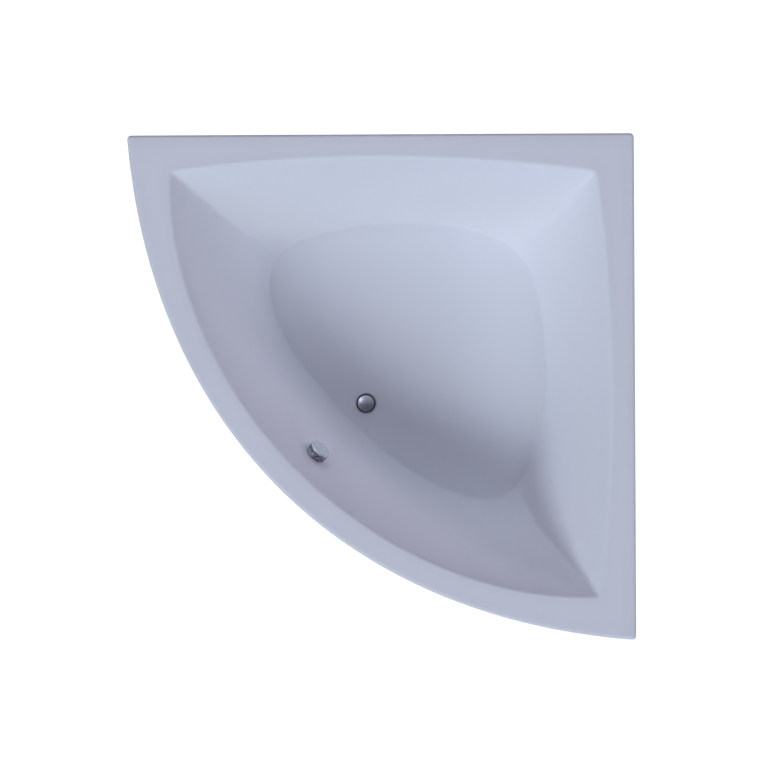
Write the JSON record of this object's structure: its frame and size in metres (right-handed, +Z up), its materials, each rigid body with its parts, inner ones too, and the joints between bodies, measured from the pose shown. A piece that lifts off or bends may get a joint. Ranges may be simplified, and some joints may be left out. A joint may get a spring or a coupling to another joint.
{
  "type": "corner bathtub",
  "caption": "Quarter-round corner bathtub with a three-cornered basin, pop-up waste and rotary overflow knob, on a steel frame with levelling feet and a bowed front panel.",
  "frame": {"origin": "floor level, under the middle of the overall plan box", "axes": "+Z up; the two wall sides face +X and +Y, the wall corner is at +X +Y and the bowed front faces -X -Y"},
  "size_m": [1.499, 1.499, 0.6],
  "materials": {
    "acrylic": "glossy white sanitary acrylic",
    "timber": "raw chipboard and plywood",
    "frame_steel": "satin grey powder coat",
    "zinc": "zinc plated",
    "pad_rubber": "matt black rubber",
    "rubber": "matt black rubber",
    "chrome": "polished chrome",
    "black_plastic": "moulded black plastic",
    "white_plastic": "moulded white plastic",
    "hose_grey": "ribbed grey plastic"
  },
  "bodies": {
    "root": {"tub_shell": "acrylic", "front_panel": "acrylic", "base_board": "timber", "rear_batten": "timber", "side_batten": "timber", "front_batten": "timber", "spine_rail": "frame_steel", "cross_rail": "frame_steel", "left_mid_rail": "frame_steel", "right_mid_rail": "frame_steel", "left_front_arm": "frame_steel", "right_front_arm": "frame_steel", "front_bar": "frame_steel", "corner_post": "frame_steel", "left_post": "frame_steel", "right_post": "frame_steel", "front_post": "frame_steel", "post_brackets": "zinc", "bracket_screws": "zinc", "foot_nuts": "zinc", "panel_foot_brackets": "zinc", "lever_pin": "zinc", "plate_screws": "zinc", "flange_seal": "rubber", "waste_washer": "rubber", "overflow_seal": "rubber", "waste_flange": "chrome", "overflow_plate": "chrome", "waste_body": "black_plastic", "overflow_body": "black_plastic", "hose_nut_top": "black_plastic", "hose_nut_bottom": "black_plastic", "panel_clips": "black_plastic", "bowden_cable": "black_plastic", "trap_inlet_nut": "white_plastic", "trap_body": "white_plastic", "trap_outlet_nut": "white_plastic", "overflow_hose": "hose_grey"},
    "overflow_knob": {"overflow_knob": "chrome", "knob_shaft": "zinc"},
    "plug": {"plug_cap": "chrome", "plug_seal": "rubber", "plug_stem": "zinc"},
    "lift_lever": {"lift_lever": "white_plastic"},
    "foot_1": {"foot_stud_1": "zinc", "foot_pad_1": "pad_rubber"},
    "foot_2": {"foot_stud_2": "zinc", "foot_pad_2": "pad_rubber"},
    "foot_3": {"foot_stud_3": "zinc", "foot_pad_3": "pad_rubber"},
    "foot_4": {"foot_stud_4": "zinc", "foot_pad_4": "pad_rubber"},
    "foot_5": {"foot_stud_5": "zinc", "foot_pad_5": "pad_rubber"}
  },
  "joints": [
    {"name": "knob_turn", "type": "hinge", "parent": "root", "child": "overflow_knob", "pos_m": [-0.20467, -0.20467, 0.475], "axis": [0.6446, 0.6446, 0.4112], "range_deg": [0, 90]},
    {"name": "plug_lift", "type": "slide", "parent": "root", "child": "plug", "axis": [0, 0, 1], "range_m": [0, 0.01]},
    {"name": "lever_tilt", "type": "hinge", "parent": "root", "child": "lift_lever", "pos_m": [-0.09573, -0.01088, 0.129], "axis": [-0.7071, -0.7071, 0], "range_deg": [0, 9.57]},
    {"name": "foot_1_adjust", "type": "slide", "parent": "root", "child": "foot_1", "axis": [0, 0, -1], "range_m": [-0.02, 0.03]},
    {"name": "foot_2_adjust", "type": "slide", "parent": "root", "child": "foot_2", "axis": [0, 0, -1], "range_m": [-0.02, 0.03]},
    {"name": "foot_3_adjust", "type": "slide", "parent": "root", "child": "foot_3", "axis": [0, 0, -1], "range_m": [-0.02, 0.03]},
    {"name": "foot_4_adjust", "type": "slide", "parent": "root", "child": "foot_4", "axis": [0, 0, -1], "range_m": [-0.02, 0.03]},
    {"name": "foot_5_adjust", "type": "slide", "parent": "root", "child": "foot_5", "axis": [0, 0, -1], "range_m": [-0.02, 0.03]}
  ],
  "couplings": [
    {"joint": "plug_lift", "follows": "knob_turn", "m_per_rad": 0.0063661},
    {"joint": "lever_tilt", "follows": "knob_turn", "ratio": 0.10623}
  ]
}
